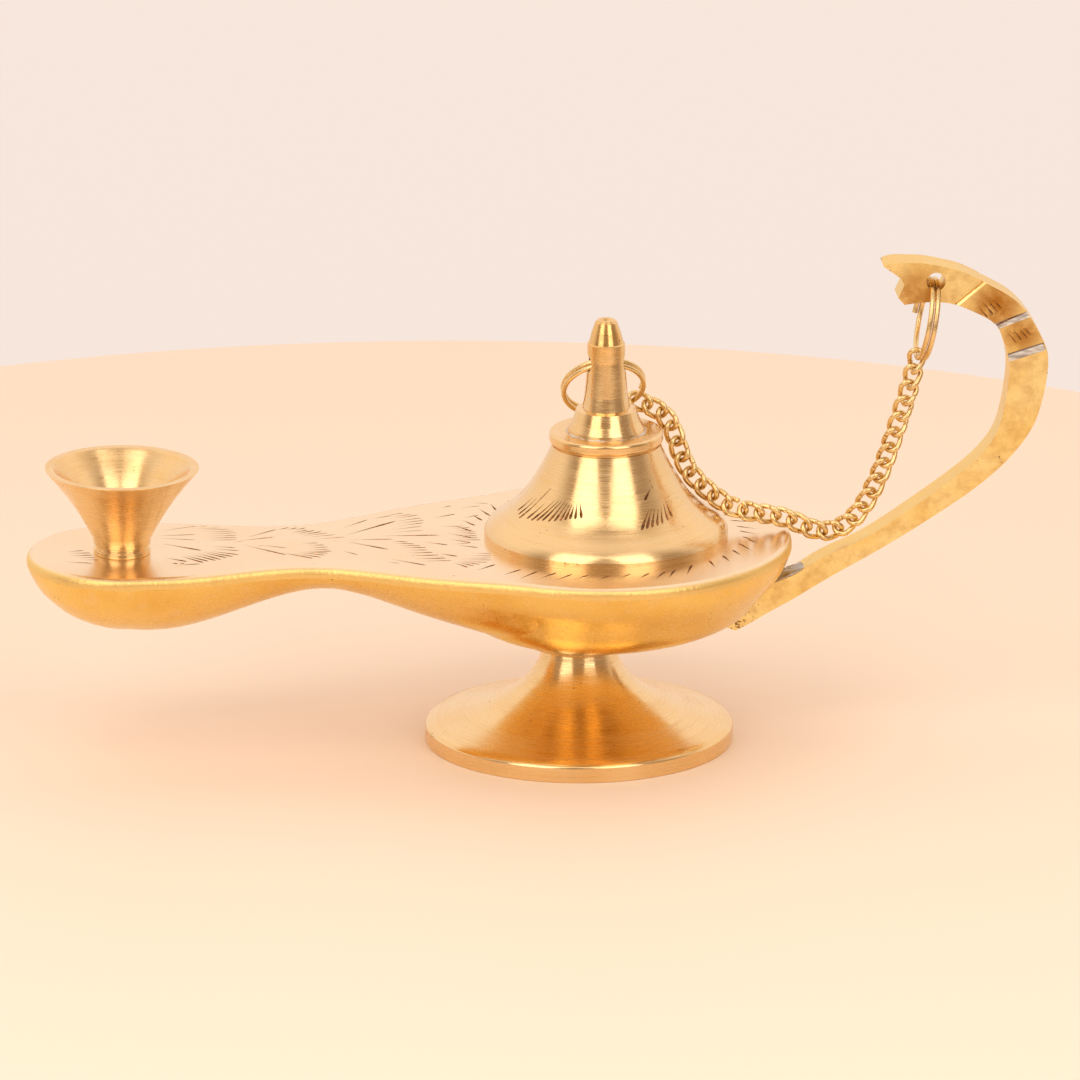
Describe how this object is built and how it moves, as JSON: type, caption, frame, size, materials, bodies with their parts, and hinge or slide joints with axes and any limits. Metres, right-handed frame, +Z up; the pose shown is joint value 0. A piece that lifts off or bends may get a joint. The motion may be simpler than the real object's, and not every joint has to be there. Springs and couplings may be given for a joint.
{
  "type": "genie oil lamp",
  "caption": "Boat-shaped brass oil lamp on a round foot, with a wick cup on its spout, and a lifting lid tied by a curb chain to the hook of its bar handle.",
  "frame": {"origin": "centre of the foot's flat underside, on the foot's axis", "axes": "+Z up; +X along the lamp from the spout to the handle; +Y to the left, away from the picture's viewer"},
  "size_m": [0.1656, 0.06, 0.0791],
  "materials": {
    "polished_brass": "polished, warm, with fine pits and darker seams",
    "satin_brass": "satin, lathe brushed, with engraved strokes",
    "ring_brass": "drawn wire, slightly dull",
    "chain_brass": "tumbled wire, slightly dull",
    "screw_brass": "plain turned"
  },
  "bodies": {
    "lamp": {"hull_shell": "polished_brass", "deck_plate": "satin_brass", "foot": "satin_brass", "foot_screw": "screw_brass", "wick_cup": "satin_brass", "handle": "polished_brass"},
    "lid": {"lid_bell": "satin_brass", "lid_collar": "satin_brass", "finial": "satin_brass", "lid_screw": "screw_brass"},
    "handle_ring": {"handle_ring": "ring_brass"},
    "chain_run_1": {"chain_link_01": "chain_brass", "chain_link_02": "chain_brass", "chain_link_03": "chain_brass", "chain_link_04": "chain_brass"},
    "chain_run_2": {"chain_link_05": "chain_brass", "chain_link_06": "chain_brass", "chain_link_07": "chain_brass", "chain_link_08": "chain_brass", "chain_link_09": "chain_brass", "chain_link_10": "chain_brass"},
    "chain_run_3": {"chain_link_11": "chain_brass", "chain_link_12": "chain_brass", "chain_link_13": "chain_brass", "chain_link_14": "chain_brass"},
    "chain_run_4": {"chain_link_15": "chain_brass", "chain_link_16": "chain_brass", "chain_link_17": "chain_brass"},
    "chain_run_5": {"chain_link_18": "chain_brass", "chain_link_19": "chain_brass", "chain_link_20": "chain_brass"},
    "chain_run_6": {"chain_link_21": "chain_brass", "chain_link_22": "chain_brass", "chain_link_23": "chain_brass", "chain_link_24": "chain_brass", "chain_link_25": "chain_brass", "chain_link_26": "chain_brass", "chain_link_27": "chain_brass", "chain_link_28": "chain_brass"},
    "lid_ring": {"lid_ring": "ring_brass"}
  },
  "joints": [
    {"name": "lid_lift", "type": "slide", "parent": "lamp", "child": "lid", "axis": [0, 0, 1], "range_m": [0, 0.01]},
    {"name": "handle_ring_swing", "type": "hinge", "parent": "lamp", "child": "handle_ring", "pos_m": [0.05768, 0, 0.07568], "axis": [0, -1, 0], "range_deg": [-1, 3.5]},
    {"name": "run_1_swing", "type": "hinge", "parent": "handle_ring", "child": "chain_run_1", "pos_m": [0.055, 0, 0.06303], "axis": [0, -1, 0], "range_deg": [-10.7, 1]},
    {"name": "run_2_swing", "type": "hinge", "parent": "chain_run_1", "child": "chain_run_2", "pos_m": [0.05221, 0, 0.05254], "axis": [0, -1, 0], "range_deg": [-1, 3.3]},
    {"name": "run_3_swing", "type": "hinge", "parent": "chain_run_2", "child": "chain_run_3", "pos_m": [0.04614, 0, 0.03746], "axis": [0, -1, 0], "range_deg": [-19.6, 1]},
    {"name": "run_4_swing", "type": "hinge", "parent": "chain_run_3", "child": "chain_run_4", "pos_m": [0.03699, 0, 0.03429], "axis": [0, -1, 0], "range_deg": [-4.8, 1]},
    {"name": "run_5_swing", "type": "hinge", "parent": "chain_run_4", "child": "chain_run_5", "pos_m": [0.02935, 0.00018, 0.03687], "axis": [0, -1, 0], "range_deg": [-1, 9.5]},
    {"name": "run_6_swing", "type": "hinge", "parent": "chain_run_5", "child": "chain_run_6", "pos_m": [0.02208, 0.00216, 0.03952], "axis": [0, -1, 0], "range_deg": [-1, 21.9]},
    {"name": "lid_ring_swing", "type": "hinge", "parent": "chain_run_6", "child": "lid_ring", "pos_m": [0.00926, 0.00609, 0.05518], "axis": [0, -1, 0], "range_deg": [-3, 1]}
  ],
  "couplings": [
    {"joint": "handle_ring_swing", "follows": "lid_lift", "rad_per_m": 4.28},
    {"joint": "run_1_swing", "follows": "lid_lift", "rad_per_m": -16.87},
    {"joint": "run_2_swing", "follows": "lid_lift", "rad_per_m": 3.93},
    {"joint": "run_3_swing", "follows": "lid_lift", "rad_per_m": -32.51},
    {"joint": "run_4_swing", "follows": "lid_lift", "rad_per_m": -6.65},
    {"joint": "run_5_swing", "follows": "lid_lift", "rad_per_m": 14.88},
    {"joint": "run_6_swing", "follows": "lid_lift", "rad_per_m": 36.41},
    {"joint": "lid_ring_swing", "follows": "lid_lift", "rad_per_m": -3.49}
  ]
}
